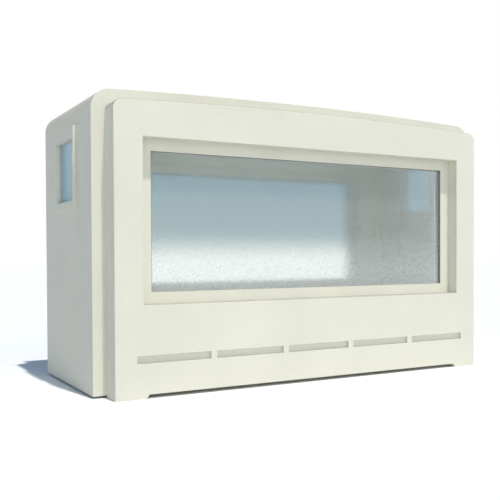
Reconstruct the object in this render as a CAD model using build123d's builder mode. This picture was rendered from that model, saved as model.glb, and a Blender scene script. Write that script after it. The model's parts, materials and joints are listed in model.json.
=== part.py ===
import os
from build123d import *

# Security guard booth: a hollow body with a cambered roof between two thick moulded panels.
# X runs along its length, the front faces -Y and +Z is up. The origin is on the ground
# under the middle. All sizes are in millimetres.

os.makedirs("parts", exist_ok=True)

# Body
BODY_LENGTH = 4280
BODY_DEPTH = 1488
BODY_LIFT = 20
BODY_EAVES = 2597
BODY_CROWN = 2634
BODY_CORNER = 170
WALL = 120
FLOOR_TOP = 120
DECK = 18

# Front and rear panels
PANEL_LENGTH = 4042
PANEL_DEPTH = 216
PANEL_EAVES = 2482
PANEL_CROWN = 2524
PANEL_CORNER = 78
PANEL_EDGE = 6
FOOT_LENGTH = 278
FOOT_HEIGHT = 33
FOOT_SLOPE = 22

# Long windows
CUTOUT_LENGTH = 3532
CUTOUT_SILL = 787
CUTOUT_HEAD = 2185
WINDOW_LENGTH = 3302
WINDOW_SILL = 885
WINDOW_HEAD = 2085
WALL_OPENING_LENGTH = 3408
WALL_OPENING_SILL = 832
WALL_OPENING_HEAD = 2183
FRAME_SETBACK = 120
GLASS_SETBACK = 28
GLASS = 8
SEAL = 4
SEAL_SETBACK = 2
SPACER = 8

# Row of slots
SLOT_COUNT = 5
SLOT_PITCH = 742.5
SLOT_LENGTH = 684
SLOT_HEIGHT = 63
SLOT_MIDDLE = 328
SLOT_DEPTH = 24

# End windows
END_WINDOW_WIDTH = 510
END_WINDOW_MIDDLE = -34
END_WINDOW_SILL = 1686
END_WINDOW_HEAD = 2238
END_GLASS_SETBACK = 20
END_GLASS = 10
SURROUND_PROUD = 29
SURROUND_SIDE = 26
SURROUND_BELOW = 74
SURROUND_ABOVE = 109

# Door in the right end wall
DOOR_WIDTH = 800
DOOR_HEAD = 2362
DOOR_JAMB = 30
DOOR_GAP = 4
LEAF_LIP = 40
LEAF_PLUG = 70
DOOR_STEP = 14
HINGE_RADIUS = 9
HINGE_LENGTH = 110
PULL_HEIGHT = 160
PULL_WIDTH = 64
PULL_DEPTH = 24
PULL_LEVEL = 1080

# Derived sizes
half_body = BODY_LENGTH / 2
half_depth = BODY_DEPTH / 2
half_inside = half_body - WALL
inner_face = half_depth - WALL
panel_face = half_depth + PANEL_DEPTH
frame_face = panel_face - FRAME_SETBACK
glass_face = frame_face - GLASS_SETBACK
inner_glass_face = half_depth + GLASS
spring = BODY_EAVES - BODY_CORNER
deck_top = FLOOR_TOP + DECK
window_middle = (WINDOW_SILL + WINDOW_HEAD) / 2
window_height = WINDOW_HEAD - WINDOW_SILL
end_middle = (END_WINDOW_SILL + END_WINDOW_HEAD) / 2
end_height = END_WINDOW_HEAD - END_WINDOW_SILL


def save(piece, name):
    piece.part.label = name
    export_step(piece.part, "parts/" + name + ".step")


# Floor of the body, with a thin deck laid on it
with BuildPart() as floor_slab:
    with BuildSketch(Plane.XY.offset(BODY_LIFT)):
        Rectangle(BODY_LENGTH, BODY_DEPTH)
    extrude(amount=FLOOR_TOP - BODY_LIFT)
save(floor_slab, "floor_slab")

with BuildPart() as floor_deck:
    with BuildSketch(Plane.XY.offset(FLOOR_TOP)):
        Rectangle(half_inside * 2, inner_face * 2)
    extrude(amount=DECK)
save(floor_deck, "floor_deck")

# Roof: cambered on top and flat inside, with rounded shoulders that drop onto the end walls
with BuildPart() as roof:
    with BuildSketch(Plane.XZ.offset(-half_depth)):
        with BuildLine():
            outer_left = (-half_body, spring)
            outer_right = (half_body, spring)
            inner_right = (half_inside, spring)
            inner_left = (-half_inside, spring)
            Line(inner_left, outer_left)
            RadiusArc(outer_left, (-half_body + BODY_CORNER, BODY_EAVES), BODY_CORNER)
            ThreePointArc(
                (-half_body + BODY_CORNER, BODY_EAVES),
                (0, BODY_CROWN),
                (half_body - BODY_CORNER, BODY_EAVES),
            )
            RadiusArc((half_body - BODY_CORNER, BODY_EAVES), outer_right, BODY_CORNER)
            Line(outer_right, inner_right)
            RadiusArc(inner_right, (half_body - BODY_CORNER, BODY_EAVES - WALL), -(BODY_CORNER - WALL))
            Line(
                (half_body - BODY_CORNER, BODY_EAVES - WALL),
                (-half_body + BODY_CORNER, BODY_EAVES - WALL),
            )
            RadiusArc((-half_body + BODY_CORNER, BODY_EAVES - WALL), inner_left, -(BODY_CORNER - WALL))
        make_face()
    extrude(amount=BODY_DEPTH)
save(roof, "roof")


def long_wall(name, side):
    # Wall under the long window, between the end walls and up to the roof's underside
    near = inner_face if side > 0 else -half_depth
    with BuildPart() as wall:
        with BuildSketch(Plane.XZ.offset(-near - WALL)):
            with BuildLine():
                Polyline(
                    (-half_inside, spring),
                    (-half_inside, FLOOR_TOP),
                    (half_inside, FLOOR_TOP),
                    (half_inside, spring),
                )
                RadiusArc(
                    (half_inside, spring),
                    (half_body - BODY_CORNER, BODY_EAVES - WALL),
                    -(BODY_CORNER - WALL),
                )
                Line(
                    (half_body - BODY_CORNER, BODY_EAVES - WALL),
                    (-half_body + BODY_CORNER, BODY_EAVES - WALL),
                )
                RadiusArc(
                    (-half_body + BODY_CORNER, BODY_EAVES - WALL),
                    (-half_inside, spring),
                    -(BODY_CORNER - WALL),
                )
            make_face()
            with Locations((0, (WALL_OPENING_SILL + WALL_OPENING_HEAD) / 2)):
                Rectangle(
                    WALL_OPENING_LENGTH,
                    WALL_OPENING_HEAD - WALL_OPENING_SILL,
                    mode=Mode.SUBTRACT,
                )
        extrude(amount=WALL)
    save(wall, name)


long_wall("front_wall", -1)
long_wall("rear_wall", 1)


def thick_panel(name, side):
    # Moulded panel with a cambered top, rounded shoulders, a window cut-out,
    # a row of slots and a shallow notch that leaves a foot at each end
    half = PANEL_LENGTH / 2
    outer = -panel_face if side < 0 else half_depth
    with BuildPart() as panel:
        with BuildSketch(Plane.XZ.offset(-outer - PANEL_DEPTH)):
            with BuildLine():
                Polyline(
                    (-half, PANEL_EAVES - PANEL_CORNER),
                    (-half, 0),
                    (-half + FOOT_LENGTH, 0),
                    (-half + FOOT_LENGTH + FOOT_SLOPE, FOOT_HEIGHT),
                    (half - FOOT_LENGTH - FOOT_SLOPE, FOOT_HEIGHT),
                    (half - FOOT_LENGTH, 0),
                    (half, 0),
                    (half, PANEL_EAVES - PANEL_CORNER),
                )
                RadiusArc(
                    (half, PANEL_EAVES - PANEL_CORNER),
                    (half - PANEL_CORNER, PANEL_EAVES),
                    -PANEL_CORNER,
                )
                ThreePointArc(
                    (half - PANEL_CORNER, PANEL_EAVES),
                    (0, PANEL_CROWN),
                    (-half + PANEL_CORNER, PANEL_EAVES),
                )
                RadiusArc(
                    (-half + PANEL_CORNER, PANEL_EAVES),
                    (-half, PANEL_EAVES - PANEL_CORNER),
                    -PANEL_CORNER,
                )
            make_face()
            with Locations((0, (CUTOUT_SILL + CUTOUT_HEAD) / 2)):
                Rectangle(CUTOUT_LENGTH, CUTOUT_HEAD - CUTOUT_SILL, mode=Mode.SUBTRACT)
        extrude(amount=PANEL_DEPTH)
        face_edges = panel.faces().sort_by(Axis.Y)[0 if side < 0 else -1].edges()
        fillet(face_edges.filter_by(lambda edge: edge.center().Z > 1), radius=PANEL_EDGE)
        slot_plane = panel_face if side < 0 else -panel_face + SLOT_DEPTH
        with BuildSketch(Plane.XZ.offset(slot_plane)):
            with Locations((0, SLOT_MIDDLE)):
                with GridLocations(SLOT_PITCH, SLOT_HEIGHT, SLOT_COUNT, 1):
                    Rectangle(SLOT_LENGTH, SLOT_HEIGHT)
        extrude(amount=-SLOT_DEPTH, mode=Mode.SUBTRACT)
    save(panel, name)


thick_panel("front_panel", -1)
thick_panel("rear_panel", 1)


def layer(name, face, side, depth, outer_size, opening_size, middle):
    # Flat plate or ring parallel to the long walls; face is its outer face's distance from the middle
    start = face if side < 0 else -face + depth
    with BuildPart() as piece:
        with BuildSketch(Plane.XZ.offset(start)):
            with Locations((0, middle)):
                Rectangle(outer_size[0], outer_size[1])
                if opening_size:
                    Rectangle(opening_size[0], opening_size[1], mode=Mode.SUBTRACT)
        extrude(amount=-depth)
    save(piece, name)


def long_window(prefix, side):
    # Frame ring set back in the panel's cut-out, with two panes held apart by a slim spacer
    cutout_middle = (CUTOUT_SILL + CUTOUT_HEAD) / 2
    opening = (WINDOW_LENGTH, window_height)
    front = frame_face if side < 0 else -half_depth
    with BuildPart() as frame:
        with BuildSketch(Plane.XZ.offset(front)):
            with Locations((0, cutout_middle)):
                Rectangle(CUTOUT_LENGTH, CUTOUT_HEAD - CUTOUT_SILL)
            with Locations((0, window_middle)):
                Rectangle(WINDOW_LENGTH, window_height, mode=Mode.SUBTRACT)
        extrude(amount=half_depth - frame_face)
    save(frame, prefix + "_window_frame")
    layer(
        prefix + "_window_seal",
        frame_face - SEAL_SETBACK,
        side,
        GLASS_SETBACK - SEAL_SETBACK,
        opening,
        (WINDOW_LENGTH - 2 * SEAL, window_height - 2 * SEAL),
        window_middle,
    )
    layer(prefix + "_window_glass", glass_face, side, GLASS, opening, None, window_middle)
    layer(
        prefix + "_glazing_bead",
        glass_face - GLASS,
        side,
        glass_face - GLASS - inner_glass_face,
        opening,
        (WINDOW_LENGTH - 2 * SPACER, window_height - 2 * SPACER),
        window_middle,
    )
    layer(prefix + "_inner_glass", inner_glass_face, side, GLASS, opening, None, window_middle)


long_window("front", -1)
long_window("rear", 1)


def end_layer(name, side, face, depth, low, high, width, hole):
    # Flat plate or ring parallel to the end walls; face is its outer face's distance from the middle
    start = side * face
    with BuildPart() as piece:
        with BuildSketch(Plane.YZ.offset(start)):
            with Locations((END_WINDOW_MIDDLE, (low + high) / 2)):
                Rectangle(width, high - low)
            if hole:
                with Locations((END_WINDOW_MIDDLE, (hole[0] + hole[1]) / 2)):
                    Rectangle(hole[2], hole[1] - hole[0], mode=Mode.SUBTRACT)
        extrude(amount=-side * depth)
    save(piece, name)


window_hole = (END_WINDOW_SILL, END_WINDOW_HEAD, END_WINDOW_WIDTH)
seal_hole = (END_WINDOW_SILL + SEAL, END_WINDOW_HEAD - SEAL, END_WINDOW_WIDTH - 2 * SEAL)


def end_window(prefix, side):
    # Raised surround on the outside, a dark seal in the reveal and the pane behind it
    end_layer(
        prefix + "_window_surround",
        side,
        half_body + SURROUND_PROUD,
        SURROUND_PROUD,
        END_WINDOW_SILL - SURROUND_BELOW,
        END_WINDOW_HEAD + SURROUND_ABOVE,
        END_WINDOW_WIDTH + 2 * SURROUND_SIDE,
        window_hole,
    )
    end_layer(
        prefix + "_window_seal",
        side,
        half_body,
        END_GLASS_SETBACK,
        END_WINDOW_SILL,
        END_WINDOW_HEAD,
        END_WINDOW_WIDTH,
        seal_hole,
    )
    end_layer(
        prefix + "_window_glass",
        side,
        half_body - END_GLASS_SETBACK,
        END_GLASS,
        END_WINDOW_SILL,
        END_WINDOW_HEAD,
        END_WINDOW_WIDTH,
        None,
    )


end_window("left", -1)
end_window("right", 1)

# Left end wall with its window cut through
with BuildPart() as left_wall:
    with BuildSketch(Plane.YZ.offset(-half_body)):
        with Locations((0, (FLOOR_TOP + spring) / 2)):
            Rectangle(BODY_DEPTH, spring - FLOOR_TOP)
        with Locations((END_WINDOW_MIDDLE, end_middle)):
            Rectangle(END_WINDOW_WIDTH, end_height, mode=Mode.SUBTRACT)
    extrude(amount=WALL)
save(left_wall, "left_wall")

# Right end wall with the doorway cut through
rough_width = DOOR_WIDTH + 2 * DOOR_GAP + 2 * DOOR_JAMB
rough_head = DOOR_HEAD + DOOR_GAP + DOOR_JAMB
with BuildPart() as right_wall:
    with BuildSketch(Plane.YZ.offset(half_body)):
        with Locations((0, (FLOOR_TOP + spring) / 2)):
            Rectangle(BODY_DEPTH, spring - FLOOR_TOP)
        with Locations((END_WINDOW_MIDDLE, (FLOOR_TOP + rough_head) / 2)):
            Rectangle(rough_width, rough_head - FLOOR_TOP, mode=Mode.SUBTRACT)
    extrude(amount=-WALL)
save(right_wall, "right_wall")

# Door frame: jambs and head with a step that the leaf's plug closes against
lip_width = DOOR_WIDTH + 2 * DOOR_GAP
lip_head = DOOR_HEAD + DOOR_GAP
plug_width = lip_width - 2 * DOOR_STEP
plug_head = lip_head - DOOR_STEP
with BuildPart() as door_frame:
    with BuildSketch(Plane.YZ.offset(half_body)):
        with Locations((END_WINDOW_MIDDLE, (FLOOR_TOP + rough_head) / 2)):
            Rectangle(rough_width, rough_head - FLOOR_TOP)
        with Locations((END_WINDOW_MIDDLE, (FLOOR_TOP + plug_head) / 2)):
            Rectangle(plug_width, plug_head - FLOOR_TOP, mode=Mode.SUBTRACT)
    extrude(amount=-WALL)
    with BuildSketch(Plane.YZ.offset(half_body)):
        with Locations((END_WINDOW_MIDDLE, (FLOOR_TOP + lip_head) / 2)):
            Rectangle(lip_width, lip_head - FLOOR_TOP)
    extrude(amount=-(LEAF_LIP + DOOR_GAP), mode=Mode.SUBTRACT)
save(door_frame, "door_frame")

# Threshold between the jambs, level with the deck
with BuildPart() as door_threshold:
    with BuildSketch(Plane.XY.offset(FLOOR_TOP)):
        with Locations((half_body - WALL / 2, END_WINDOW_MIDDLE)):
            Rectangle(WALL, plug_width)
        with Locations((half_body - (LEAF_LIP + DOOR_GAP) / 2, END_WINDOW_MIDDLE)):
            Rectangle(LEAF_LIP + DOOR_GAP, lip_width)
    extrude(amount=DECK)
save(door_threshold, "door_threshold")

# Door leaf: an outer lip, a thick plug behind it, the window and two pockets for the pulls
leaf_foot = deck_top + DOOR_GAP
plug_top = DOOR_HEAD - DOOR_STEP
pull_side = END_WINDOW_MIDDLE - DOOR_WIDTH / 2 + 90
with BuildPart() as door_leaf:
    with BuildSketch(Plane.YZ.offset(half_body)):
        with Locations((END_WINDOW_MIDDLE, (leaf_foot + DOOR_HEAD) / 2)):
            Rectangle(DOOR_WIDTH, DOOR_HEAD - leaf_foot)
    extrude(amount=-LEAF_LIP)
    with BuildSketch(Plane.YZ.offset(half_body - LEAF_LIP)):
        with Locations((END_WINDOW_MIDDLE, (leaf_foot + plug_top) / 2)):
            Rectangle(DOOR_WIDTH - 2 * DOOR_STEP, plug_top - leaf_foot)
    extrude(amount=-LEAF_PLUG)
    with BuildSketch(Plane.YZ.offset(half_body)):
        with Locations((END_WINDOW_MIDDLE, end_middle)):
            Rectangle(END_WINDOW_WIDTH, end_height)
    extrude(amount=-(LEAF_LIP + LEAF_PLUG), mode=Mode.SUBTRACT)
    with BuildSketch(Plane.YZ.offset(half_body)):
        with Locations((pull_side, PULL_LEVEL)):
            RectangleRounded(PULL_WIDTH, PULL_HEIGHT, 12)
    extrude(amount=-PULL_DEPTH, mode=Mode.SUBTRACT)
    with BuildSketch(Plane.YZ.offset(half_body - LEAF_LIP - LEAF_PLUG)):
        with Locations((pull_side, PULL_LEVEL)):
            RectangleRounded(PULL_WIDTH, PULL_HEIGHT, 12)
    extrude(amount=PULL_DEPTH, mode=Mode.SUBTRACT)
save(door_leaf, "door_leaf")


def flush_pull(name, face, direction):
    # Shallow cup let into the leaf, with a grip bar across its middle
    with BuildPart() as pull:
        with BuildSketch(Plane.YZ.offset(face)):
            with Locations((pull_side, PULL_LEVEL)):
                RectangleRounded(PULL_WIDTH, PULL_HEIGHT, 12)
        extrude(amount=direction * PULL_DEPTH)
        with BuildSketch(Plane.YZ.offset(face)):
            with Locations((pull_side, PULL_LEVEL)):
                RectangleRounded(PULL_WIDTH - 8, PULL_HEIGHT - 8, 8)
        extrude(amount=direction * (PULL_DEPTH - 3), mode=Mode.SUBTRACT)
        with BuildSketch(Plane.YZ.offset(face)):
            with Locations((pull_side, PULL_LEVEL)):
                Rectangle(14, PULL_HEIGHT - 4)
        extrude(amount=direction * 8)
    save(pull, name)


flush_pull("door_pull_outer", half_body, -1)
flush_pull("door_pull_inner", half_body - LEAF_LIP - LEAF_PLUG, 1)

# Key escutcheon below the outer pull
with BuildPart() as door_lock:
    with BuildSketch(Plane.YZ.offset(half_body)):
        with Locations((pull_side, PULL_LEVEL - 130)):
            Circle(22)
    extrude(amount=5)
save(door_lock, "door_lock")

# Hinge barrels on the rear jamb
hinge_side = END_WINDOW_MIDDLE + DOOR_WIDTH / 2 + DOOR_GAP + HINGE_RADIUS
for hinge_name, level in (("bottom", 420), ("middle", 1250), ("top", 2080)):
    with BuildPart() as hinge:
        with BuildSketch(Plane.XY.offset(level - HINGE_LENGTH / 2)):
            with Locations((half_body + HINGE_RADIUS, hinge_side)):
                Circle(HINGE_RADIUS)
            with Locations((half_body + HINGE_RADIUS / 2, hinge_side)):
                Rectangle(HINGE_RADIUS, 2 * HINGE_RADIUS)
        extrude(amount=HINGE_LENGTH)
    save(hinge, "door_hinge_" + hinge_name)
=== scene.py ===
import json
import math

import bmesh
import bpy
from mathutils import Matrix, Vector


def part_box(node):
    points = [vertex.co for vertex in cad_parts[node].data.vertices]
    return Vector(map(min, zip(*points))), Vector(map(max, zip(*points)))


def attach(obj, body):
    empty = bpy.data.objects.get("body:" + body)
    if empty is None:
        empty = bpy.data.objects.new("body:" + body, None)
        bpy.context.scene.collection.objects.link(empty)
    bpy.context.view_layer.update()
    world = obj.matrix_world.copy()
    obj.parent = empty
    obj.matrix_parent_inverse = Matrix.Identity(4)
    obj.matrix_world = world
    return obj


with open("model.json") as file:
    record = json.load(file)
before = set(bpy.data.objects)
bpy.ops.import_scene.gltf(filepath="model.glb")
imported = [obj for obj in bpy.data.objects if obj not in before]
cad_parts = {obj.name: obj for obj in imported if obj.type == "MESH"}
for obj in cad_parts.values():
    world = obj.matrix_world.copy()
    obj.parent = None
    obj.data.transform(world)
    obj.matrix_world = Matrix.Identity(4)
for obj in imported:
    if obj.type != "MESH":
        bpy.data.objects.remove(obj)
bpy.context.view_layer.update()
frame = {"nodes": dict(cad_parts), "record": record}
nodes = frame["nodes"]


# Node helpers
class Graph:
    """Short calls for building the node tree of a new material or of the world."""

    def __init__(self, owner):
        self.mat = bpy.data.materials.new(owner) if isinstance(owner, str) else owner
        self.mat.use_nodes = True
        self.tree = self.mat.node_tree
        self.tree.nodes.clear()
        kind = "Material" if isinstance(owner, str) else "World"
        self.out = self.tree.nodes.new("ShaderNodeOutput" + kind)

    def add(self, kind, **values):
        node = self.tree.nodes.new("ShaderNode" + kind)
        for key, value in values.items():
            setattr(node, key, value)
        return node

    def link(self, source, target):
        self.tree.links.new(source, target)

    def position(self):
        return self.add("NewGeometry").outputs["Position"]

    def math(self, operation, a, b=None, clamp=False):
        node = self.add("Math", operation=operation, use_clamp=clamp)
        for socket, value in ((0, a), (1, b)):
            if value is None:
                continue
            if isinstance(value, (int, float)):
                node.inputs[socket].default_value = value
            else:
                self.link(value, node.inputs[socket])
        return node.outputs[0]

    def noise(self, scale, detail=2.0, rough=0.5, coords=None, stretch=None):
        node = self.add("TexNoise")
        node.inputs["Scale"].default_value = scale
        node.inputs["Detail"].default_value = detail
        node.inputs["Roughness"].default_value = rough
        source = coords or self.position()
        if stretch:
            mapping = self.add("Mapping")
            mapping.inputs["Scale"].default_value = stretch
            self.link(source, mapping.inputs["Vector"])
            source = mapping.outputs[0]
        self.link(source, node.inputs["Vector"])
        return node.outputs["Fac"]

    def ramp(self, fac, stops):
        node = self.add("ValToRGB")
        ramp = node.color_ramp
        while len(ramp.elements) < len(stops):
            ramp.elements.new(0.5)
        for element, (place, colour) in zip(ramp.elements, stops):
            element.position = place
            element.color = (*colour, 1.0)
        self.link(fac, node.inputs["Fac"])
        return node.outputs["Color"]

    def bump(self, height, strength, distance, normal=None):
        node = self.add("Bump")
        node.inputs["Strength"].default_value = strength
        node.inputs["Distance"].default_value = distance
        self.link(height, node.inputs["Height"])
        if normal is not None:
            self.link(normal, node.inputs["Normal"])
        return node.outputs["Normal"]

    def spread(self, value, low, high, to_low, to_high):
        node = self.add("MapRange", clamp=True)
        limits = {"From Min": low, "From Max": high, "To Min": to_low, "To Max": to_high}
        for socket, number in limits.items():
            node.inputs[socket].default_value = number
        self.link(value, node.inputs["Value"])
        return node.outputs["Result"]

    def blend_colour(self, fac, first, second):
        node = self.add("Mix", data_type="RGBA")
        self.link(fac, node.inputs["Factor"])
        self.link(first, node.inputs["A"])
        node.inputs["B"].default_value = (*second, 1.0)
        return node.outputs["Result"]

    def blend(self, fac, first, second):
        node = self.add("MixShader")
        for socket, source in enumerate((fac, first, second)):
            self.link(source, node.inputs[socket])
        return node.outputs[0]

    def direct_rays(self):
        # 1 on rays that the camera sees, straight, mirrored or through glass, and 0 on
        # the rays that light the booth
        path = self.add("LightPath").outputs
        mirrored = self.math("MAXIMUM", path["Is Glossy Ray"], path["Is Transmission Ray"])
        return self.math("MAXIMUM", path["Is Camera Ray"], mirrored)

    def rounded(self, radius):
        if not radius:
            return None
        node = self.add("Bevel", samples=4)
        node.inputs["Radius"].default_value = radius
        return node.outputs["Normal"]

    def edge_highlight_and_wear(self, radius):
        # 1 where the rounded normal turns away from the face's own, along the edges that get painted
        # highlight as well as wear
        dot = self.add("VectorMath", operation="DOT_PRODUCT")
        self.link(self.rounded(radius * 1.5), dot.inputs[0])
        self.link(self.add("NewGeometry").outputs["True Normal"], dot.inputs[1])
        return self.spread(dot.outputs["Value"], 0.98, 0.80, 0.0, 1.0)

    def principled(self, **values):
        node = self.add("BsdfPrincipled")
        for key, value in values.items():
            node.inputs[key.replace("_", " ")].default_value = value
        self.link(node.outputs[0], self.out.inputs["Surface"])
        return node


def tint(colour, k):
    return tuple(min(1.0, c * k) for c in colour)


def moulded(name, colour, rounding=0.0, upward_shade=0.48):
    # Fine-grained moulded skin: faint mottling, a fine pimple, soft long waves,
    # painted shade on surfaces that face up and in corners, and brighter edges that are painted highlight
    # as well as wear
    g = Graph(name)
    shader = g.principled()
    cloudy = g.noise(1.7, detail=4.0, rough=0.55)
    fine = g.noise(55.0, detail=6.0, rough=0.8)
    mixed = g.math("ADD", g.math("MULTIPLY", cloudy, 0.45), g.math("MULTIPLY", fine, 0.55))
    base = g.ramp(mixed, [(0.36, tint(colour, 0.95)), (0.64, tint(colour, 1.04))])
    facing = g.add("SeparateXYZ")
    g.link(g.add("NewGeometry").outputs["True Normal"], facing.inputs[0])
    # Painted shade on faces that turn up, broken up by streaks
    upward = g.spread(facing.outputs["Z"], 0.02, 0.42, 0.0, 1.0)
    streaks = g.noise(5.0, detail=5.0, rough=0.65, stretch=(1.0, 1.0, 0.35))
    painted_upward_shade = g.math("MULTIPLY", upward, g.spread(streaks, 0.25, 0.75, upward_shade * 0.8, upward_shade * 1.2))
    # Painted shade in corners and creases, taken from ambient occlusion
    occlusion = g.add("AmbientOcclusion", samples=6)
    occlusion.inputs["Distance"].default_value = 0.05
    painted_corner_shade = g.spread(occlusion.outputs["AO"], 0.45, 0.95, 0.03, 0.0)
    # Both painted shades pull the colour towards a dark grey
    painted_shade = g.math("ADD", painted_upward_shade, painted_corner_shade, clamp=True)
    painted_light_colour = g.blend_colour(painted_shade, base, (0.05, 0.052, 0.045))
    waves = g.bump(g.noise(3.0, detail=1.0), 0.10, 0.004, g.rounded(rounding))
    g.link(g.bump(fine, 0.40, 0.0022, waves), shader.inputs["Normal"])
    # Edges brightened: painted highlight as well as wear
    if rounding:
        edge = g.edge_highlight_and_wear(rounding)
        painted_light_colour = g.blend_colour(g.math("MULTIPLY", edge, 0.35), painted_light_colour, tint(colour, 1.08))
    g.link(painted_light_colour, shader.inputs["Base Color"])
    g.link(g.spread(mixed, 0.3, 0.7, 0.54, 0.68), shader.inputs["Roughness"])
    return g.mat


def sheet_floor(name, colour):
    # Speckled, slightly dimpled floor sheet
    g = Graph(name)
    shader = g.principled(Roughness=0.5)
    speckle = g.noise(260.0, detail=3.0, rough=0.7)
    speckled = g.ramp(speckle, [(0.38, tint(colour, 0.82)), (0.62, tint(colour, 1.12))])
    g.link(speckled, shader.inputs["Base Color"])
    g.link(g.bump(g.noise(90.0), 0.12, 0.001), shader.inputs["Normal"])
    return g.mat


def rubber(name, colour, dusty=1.35):
    # Matt rubber, up to this many times as pale where dust lies on it
    g = Graph(name)
    shader = g.principled(Roughness=0.75)
    dust = g.ramp(g.noise(35.0, detail=3.0), [(0.35, colour), (0.75, tint(colour, dusty))])
    g.link(dust, shader.inputs["Base Color"])
    g.link(g.bump(g.noise(700.0), 0.15, 0.0006), shader.inputs["Normal"])
    return g.mat


def brushed(name, colour, sheen=0.28):
    # Brushed metal with fine upright lines; sheen is its lowest roughness
    g = Graph(name)
    shader = g.principled(Metallic=1.0)
    lines = g.noise(60.0, detail=4.0, rough=0.7, stretch=(14.0, 14.0, 0.6))
    streaked = g.ramp(lines, [(0.3, tint(colour, 0.85)), (0.7, tint(colour, 1.1))])
    g.link(streaked, shader.inputs["Base Color"])
    g.link(g.spread(lines, 0.0, 1.0, sheen, sheen * 1.5), shader.inputs["Roughness"])
    g.link(g.bump(lines, 0.08, 0.0004), shader.inputs["Normal"])
    return g.mat


def pane(name, see_through, film=None, cover=None, mirrored=1.0, glow=0.0, ripple=0.0):
    # Thin pane: tinted see-through, a mirror reflection that grows at grazing angles and,
    # where film is given, a fine-grained film over part of it that lets some light through.
    # A rippled pane bends what is seen through it, so edges far behind it look grainy.
    g = Graph(name)
    if ripple:
        clear = g.add("BsdfRefraction")
        clear.inputs["Roughness"].default_value = 0.0
        clear.inputs["IOR"].default_value = 1.12
        g.link(g.bump(g.noise(60.0, detail=4.0, rough=0.8), 1.0, ripple), clear.inputs["Normal"])
    else:
        clear = g.add("BsdfTransparent")
    if callable(see_through):
        g.link(see_through(g), clear.inputs["Color"])
    else:
        clear.inputs["Color"].default_value = (*see_through, 1.0)
    body = clear.outputs[0]
    if film:
        haze = g.add("BsdfDiffuse")
        haze.inputs["Color"].default_value = (*film, 1.0)
        body = g.blend(cover(g), body, haze.outputs[0])
    if glow:
        passed = g.add("BsdfTranslucent")
        passed.inputs["Color"].default_value = (*film, 1.0)
        glowing = g.spread(g.noise(120.0, detail=2.0), 0.3, 0.7, glow * 0.95, glow * 1.05)
        body = g.blend(glowing, body, passed.outputs[0])
    mirror = g.add("BsdfGlossy")
    mirror.inputs["Color"].default_value = (0.9, 0.95, 0.97, 1.0)
    g.link(g.spread(g.noise(35.0, detail=3.0), 0.3, 0.7, 0.02, 0.06), mirror.inputs["Roughness"])
    edge = g.add("Fresnel")
    edge.inputs["IOR"].default_value = 1.45
    share = g.math("MULTIPLY", edge.outputs[0], mirrored)
    g.link(g.blend(share, body, mirror.outputs[0]), g.out.inputs["Surface"])
    return g.mat


def pane_place(g, node, grain_scale):
    # Height in the pane from 0 to 1, distance to its nearest edge in metres, and a fine
    # grain from -1 to 1
    low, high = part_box(node)
    place = g.add("SeparateXYZ")
    g.link(g.position(), place.inputs[0])
    rise = g.spread(place.outputs["Z"], low[2], high[2], 0.0, 1.0)
    rim = 1.0
    for axis, index in (("X", 0), ("Z", 2)):
        half = (high[index] - low[index]) / 2
        offset = g.math("SUBTRACT", place.outputs[axis], (high[index] + low[index]) / 2)
        rim = g.math("MINIMUM", g.math("SUBTRACT", half, g.math("ABSOLUTE", offset)), rim)
    grain = g.noise(grain_scale, detail=4.0, rough=0.8)
    return rise, rim, g.spread(grain, 0.34, 0.66, -1.0, 1.0)


def painted_sky_tint(g):
    # Painted sky reflection: blue at the head of the rear window that fades to clear at its foot, with
    # painted shade in a dim uneven rim
    rise, rim, grain = pane_place(g, "rear_inner_glass", 40.0)
    uneven = g.math("ADD", rise, g.math("MULTIPLY", grain, 0.095))
    colour = g.ramp(uneven, [(0.22, PAINTED_SKY_FOOT), (0.44, PAINTED_SKY_MIDDLE), (0.98, PAINTED_SKY_HEAD)])
    # Painted shade: an uneven dim rim along the pane's edges
    painted_rim_shade = g.spread(g.math("ADD", rim, g.math("MULTIPLY", grain, 0.015)), 0.0, 0.02, 0.35, 0.0)
    return g.blend_colour(painted_rim_shade, colour, (0.22, 0.26, 0.28))


def front_haze(g):
    # Share of the front pane that its fine film covers: more of it further down
    rise, _, grain = pane_place(g, "front_window_glass", 70.0)
    share = g.spread(rise, 0.12, 0.46, 0.25, 0.095)
    speck = g.spread(rise, 0.45, 0.85, 0.13, 0.015)
    return g.math("ADD", share, g.math("MULTIPLY", grain, speck), clamp=True)


def even_film(g):
    # Share of an end pane that its film covers
    return g.spread(g.noise(120.0, detail=2.0), 0.3, 0.7, 0.70, 0.78)


SHELL = (0.803, 0.791, 0.680)
# Colours of the painted sky reflection on the rear window, at its head, its middle and its clear foot
PAINTED_SKY_HEAD = (0.47, 0.58, 0.62)
PAINTED_SKY_MIDDLE = (0.55, 0.64, 0.655)
PAINTED_SKY_FOOT = (0.995, 0.995, 0.965)
shell = moulded("moulded_shell", SHELL)
rounded_shell = moulded("moulded_trim", SHELL, rounding=0.004)
roof_skin = moulded("moulded_roof", SHELL, upward_shade=0.32)
deck = sheet_floor("floor_sheet", (0.70, 0.72, 0.72))
gasket_rubber = rubber("rubber_seal", (0.14, 0.155, 0.14))
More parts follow.
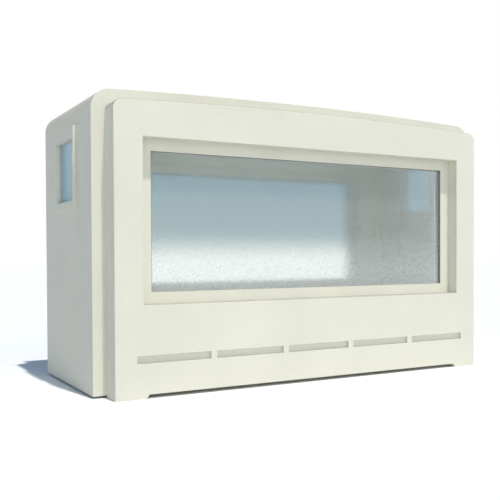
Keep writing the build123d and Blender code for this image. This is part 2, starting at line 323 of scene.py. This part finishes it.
# Lighter copies of the seal rubber: painted light that offsets the shade these seals sit in
front_seal_painted_light = rubber("front_seal_painted_light", (0.24, 0.24, 0.22))
rear_seal_painted_light = rubber("rear_seal_painted_light", (0.42, 0.40, 0.36))
end_seal_painted_light = rubber("end_seal_painted_light", (0.60, 0.56, 0.51), dusty=1.1)
spacer = brushed("glazing_spacer", (0.90, 0.91, 0.90), sheen=0.12)
pale = moulded("pale_plastic", (0.90, 0.91, 0.88), upward_shade=0.1)
steel = brushed("brushed_steel", (0.62, 0.62, 0.61))
clear_pane = pane("clear_pane", (0.98, 0.99, 0.99), (0.90, 0.93, 0.92), front_haze, mirrored=0.4)
plain_pane = pane("plain_pane", (0.995, 0.998, 0.998), mirrored=0.1)
rippled_pane = pane("rippled_pane", (0.995, 0.998, 0.998), mirrored=0.1, ripple=0.0018)
# Rear inner pane tinted with the painted sky reflection
rear_pane_painted_sky = pane("rear_pane_painted_sky", painted_sky_tint, mirrored=0.1)
blue_pane = pane("blue_pane", (0.74, 0.86, 0.92), (0.73, 0.90, 0.96), even_film, mirrored=0.45, glow=0.35)

# Which material each node takes: the slot's look, then the nodes with one of their own
looks = {"deck": deck, "bead": spacer, "hardware": steel, "glazing": blue_pane}
own_look = {
    "front_window_glass": clear_pane,
    "front_inner_glass": rippled_pane,
    "rear_window_glass": plain_pane,
    "rear_inner_glass": rear_pane_painted_sky,
    "front_glazing_bead": pale,
    "front_window_seal": front_seal_painted_light,
    "rear_window_seal": rear_seal_painted_light,
    "left_window_seal": end_seal_painted_light,
    "right_window_seal": end_seal_painted_light,
    "roof": roof_skin,
    "front_panel": rounded_shell,
    "rear_panel": rounded_shell,
    "front_window_frame": rounded_shell,
    "rear_window_frame": rounded_shell,
    "left_window_surround": rounded_shell,
    "right_window_surround": rounded_shell,
    "door_frame": rounded_shell,
    "door_leaf": rounded_shell,
}
for part in frame["record"]["subparts"]:
    name = part["node"]
    node = nodes[name]
    node.data.materials.clear()
    node.data.materials.append(own_look.get(name) or looks.get(part["material_slot"], shell))


# Small pieces that the CAD leaves out, each built from rows of points in metres
class Shape:
    def __init__(self):
        self.verts = []
        self.faces = []

    def rows(self, rows):
        # Quads between neighbouring rows of points; both directions close on themselves
        start, count = len(self.verts), len(rows[0])
        for i, row in enumerate(rows):
            self.verts += row
            after = (i + 1) % len(rows)
            for j in range(count):
                k = (j + 1) % count
                corners = (i * count + j, i * count + k, after * count + k, after * count + j)
                self.faces.append([start + painted_corner_shade for painted_corner_shade in corners])

    def ring(self, axis, centre, half, profile):
        # Mitred frame round a rectangle; profile points are (distance outward, level)
        rows = []
        for u, v in ((-1, -1), (1, -1), (1, 1), (-1, 1)):
            row = []
            for out, level in profile:
                flat = [centre[0] + u * (half[0] + out), centre[1] + v * (half[1] + out)]
                flat.insert(axis, level)
                row.append(tuple(flat))
            rows.append(row)
        self.rows(rows)

    def turned(self, axis, centre, profile, steps=28):
        # Profile points (radius, level) turned round the given axis through the centre
        rows = []
        for step in range(steps):
            angle = 2 * math.pi * step / steps
            row = []
            for radius, level in profile:
                flat = [radius * math.cos(angle), radius * math.sin(angle)]
                flat.insert(axis, level)
                row.append(tuple(centre[i] + flat[i] for i in range(3)))
            rows.append(row)
        self.rows(rows)

    def build(self, name, look):
        mesh = bpy.data.meshes.new(name)
        mesh.from_pydata(self.verts, [], self.faces)
        shaping = bmesh.new()
        shaping.from_mesh(mesh)
        bmesh.ops.remove_doubles(shaping, verts=shaping.verts, dist=1e-6)
        bmesh.ops.recalc_face_normals(shaping, faces=shaping.faces)
        shaping.to_mesh(mesh)
        shaping.free()
        mesh.materials.append(look)
        piece = bpy.data.objects.new(name, mesh)
        bpy.context.scene.collection.objects.link(piece)
        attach(piece, "root")
        return piece


def middle(low, high, axes):
    return [(low[i] + high[i]) / 2 for i in axes], [(high[i] - low[i]) / 2 for i in axes]


# Slim trims round both end windows on the room side, as wide as the surrounds outside
TRIM_WIDTH, TRIM_DEPTH, TRIM_CHAMFER = 0.026, 0.014, 0.003
leaf_low, leaf_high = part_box("door_leaf")
wall_low, wall_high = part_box("left_wall")
for side, face in (("left", wall_high[0]), ("right", leaf_low[0])):
    glass_low, glass_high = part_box(side + "_window_glass")
    inward = 1.0 if side == "left" else -1.0
    centre, half = middle(glass_low, glass_high, (1, 2))
    trim = Shape()
    crest = face + inward * TRIM_DEPTH
    trim.ring(0, centre, half, [
        (0.0, face), (0.0, crest - inward * 0.002), (TRIM_CHAMFER, crest),
        (TRIM_WIDTH - TRIM_CHAMFER, crest), (TRIM_WIDTH, crest - inward * TRIM_CHAMFER), (TRIM_WIDTH, face),
    ])
    trim.build(side + "_inner_trim", rounded_shell)

# Gasket in the gap between the door leaf and its frame, with a ridge in its middle
GASKET_NEAR, GASKET_FAR = 0.0005, 0.0035
GASKET_BACK, GASKET_FRONT, GASKET_RIDGE = (leaf_high[0] - depth for depth in (0.024, 0.010, 0.006))
centre, half = middle(leaf_low, leaf_high, (1, 2))
gasket = Shape()
gasket.ring(0, centre, half, [
    (GASKET_NEAR, GASKET_BACK), (GASKET_NEAR, GASKET_FRONT), ((GASKET_NEAR + GASKET_FAR) / 2, GASKET_RIDGE),
    (GASKET_FAR, GASKET_FRONT), (GASKET_FAR, GASKET_BACK),
])
gasket.build("door_gasket", gasket_rubber)

# Knuckle rings round the hinge barrels
KNUCKLE_SINK, KNUCKLE_STAND = 0.001, 0.0006
knuckles = Shape()
for place in ("bottom", "middle", "top"):
    low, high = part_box("door_hinge_" + place)
    radius = (high[1] - low[1]) / 2
    for share in (0.2, 0.4, 0.6, 0.8):
        level = low[2] + share * (high[2] - low[2])
        knuckles.turned(2, (low[0] + radius, (low[1] + high[1]) / 2, level), [
            (radius - KNUCKLE_SINK, -0.0012), (radius + KNUCKLE_STAND, -0.0006),
            (radius + KNUCKLE_STAND, 0.0006), (radius - KNUCKLE_SINK, 0.0012),
        ])
knuckles.build("hinge_knuckles", steel)

# Key barrel in the lock's rose, slightly dished
BARREL_RADIUS = 0.0085
low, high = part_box("door_lock")
barrel = Shape()
barrel.turned(0, (high[0], (low[1] + high[1]) / 2, (low[2] + high[2]) / 2), [
    (0.0, -0.001), (BARREL_RADIUS - 0.001, -0.001), (BARREL_RADIUS, 0.0005),
    (BARREL_RADIUS, 0.0016), (BARREL_RADIUS - 0.0013, 0.0024), (0.0, 0.0020),
])
barrel.build("lock_barrel", steel)

# Round-headed screws that hold the door's threshold
SCREW_RADIUS, SCREW_INSET = 0.0048, 0.04
low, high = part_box("door_threshold")
screws = Shape()
for share in (0.12, 0.5, 0.88):
    screws.turned(2, (low[0] + SCREW_INSET, low[1] + share * (high[1] - low[1]), high[2]), [
        (0.0, -0.001), (SCREW_RADIUS, -0.001), (SCREW_RADIUS, 0.0003),
        (SCREW_RADIUS * 0.75, 0.0014), (0.0014, 0.0019), (0.0, 0.0014),
    ])
screws.build("threshold_screws", steel)

# Cove of sealant where the deck meets the walls
COVE_WIDTH, COVE_HEIGHT, COVE_SINK = 0.010, 0.011, 0.001
low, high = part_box("floor_deck")
top = high[2]
centre, half = middle(low, high, (0, 1))
cove = Shape()
cove.ring(2, centre, half, [
    (-COVE_SINK, top - COVE_SINK), (-COVE_WIDTH, top - COVE_SINK), (-0.0055, top + 0.0025),
    (-0.0028, top + 0.006), (-COVE_SINK, top + COVE_HEIGHT),
])
cove.build("deck_sealant", pale)

# Floor: seen as white, and duller where it lights the booth
FLOOR_SIDE = 160.0
bpy.ops.mesh.primitive_plane_add(size=FLOOR_SIDE, location=(0.0, 0.0, 0.0))
floor = bpy.context.object
floor.name = "studio_floor"
g = Graph("studio_floor")
seen_floor = g.add("BsdfDiffuse")
seen_floor.inputs["Color"].default_value = (1.0, 1.0, 1.0, 1.0)
lit_floor = g.add("BsdfDiffuse")
lit_floor.inputs["Color"].default_value = (0.69, 0.70, 0.70, 1.0)
ground = g.blend(g.direct_rays(), lit_floor.outputs[0], seen_floor.outputs[0])
g.link(ground, g.out.inputs["Surface"])
floor.data.materials.append(g.mat)

# World: seen as white, and a dim blue sky to the light, bright low in front of the booth
SKY_STRENGTH = 1.48
SKY_DIM, SKY_BRIGHT = (0.060, 0.108, 0.185), (1.02, 1.02, 0.99)
world = bpy.data.worlds.new("studio_sky")
bpy.context.scene.world = world
sky = Graph(world)
direction = sky.add("SeparateXYZ")
sky.link(sky.add("TexCoord").outputs["Generated"], direction.inputs[0])
ahead = sky.spread(direction.outputs["Y"], -1.0, -0.1, 1.0, 0.0)
toward_front = sky.math("MULTIPLY", ahead, sky.spread(direction.outputs["Z"], 0.0, 0.9, 1.0, 0.3))
light = sky.add("Background")
sky.link(sky.ramp(toward_front, [(0.0, SKY_DIM), (1.0, SKY_BRIGHT)]), light.inputs["Color"])
light.inputs["Strength"].default_value = SKY_STRENGTH
white = sky.add("Background")
white.inputs["Color"].default_value = (1.0, 1.0, 1.0, 1.0)
white.inputs["Strength"].default_value = 1.0
sky.link(sky.blend(sky.direct_rays(), light.outputs[0], white.outputs[0]), sky.out.inputs["Surface"])

# Sun, high and a little to the front
TOWARD_SUN = Vector((0.153, -1.0, 2.911))
sun_data = bpy.data.lights.new("sun", "SUN")
sun_data.energy = 2.5
sun_data.angle = math.radians(1.5)
sun_data.color = (1.0, 0.97, 0.90)
sun = bpy.data.objects.new("sun", sun_data)
bpy.context.scene.collection.objects.link(sun)
sun.rotation_mode = "QUATERNION"
sun.rotation_quaternion = TOWARD_SUN.normalized().to_track_quat("Z", "Y")

# Soft light that the front window lets into the room, about as large as the pane
ROOM_LIGHT_PLACE = (0.0, -0.60, 1.5)
glow_data = bpy.data.lights.new("room_light", "AREA")
glow_data.shape = "RECTANGLE"
glow_data.size, glow_data.size_y = 3.2, 1.1
glow_data.energy = 2.9
glow_data.color = (0.60, 0.84, 1.0)
glow = bpy.data.objects.new("room_light", glow_data)
bpy.context.scene.collection.objects.link(glow)
glow.location = ROOM_LIGHT_PLACE
glow.rotation_euler = (math.radians(90.0), 0.0, 0.0)
glow.visible_camera = False
glow.visible_glossy = False

# Camera, fitted to the photo: its place in metres, its turn, and its focal length and
# the offset of its middle in pixels of a picture with PICTURE_SIDE pixels a side
CAMERA_PLACE = Vector((-4.021, -6.717, 1.2))
YAW, PITCH, ROLL = math.radians(28.898), math.radians(1.046), math.radians(-0.268)
PICTURE_SIDE, FOCAL, OFFSET_ACROSS, OFFSET_UP = 500.0, 739.0, 8.8, 18.17
SENSOR = 36.0
forward = Vector((math.sin(YAW) * math.cos(PITCH), math.cos(YAW) * math.cos(PITCH), -math.sin(PITCH)))
level_right = Vector((math.cos(YAW), -math.sin(YAW), 0.0))
level_up = level_right.cross(forward)
right = level_right * math.cos(ROLL) + level_up * math.sin(ROLL)
up = -level_right * math.sin(ROLL) + level_up * math.cos(ROLL)
cam_data = bpy.data.cameras.new("camera")
cam_data.sensor_width = SENSOR
cam_data.lens = FOCAL / PICTURE_SIDE * SENSOR
cam_data.shift_x = OFFSET_ACROSS / PICTURE_SIDE
cam_data.shift_y = OFFSET_UP / PICTURE_SIDE
cam_data.clip_end = 400.0
cam = bpy.data.objects.new("camera", cam_data)
bpy.context.scene.collection.objects.link(cam)
turn = Matrix((right, up, -forward)).transposed().to_4x4()
cam.matrix_world = Matrix.Translation(CAMERA_PLACE) @ turn
bpy.context.scene.camera = cam

bpy.context.scene.view_settings.view_transform = "Standard"
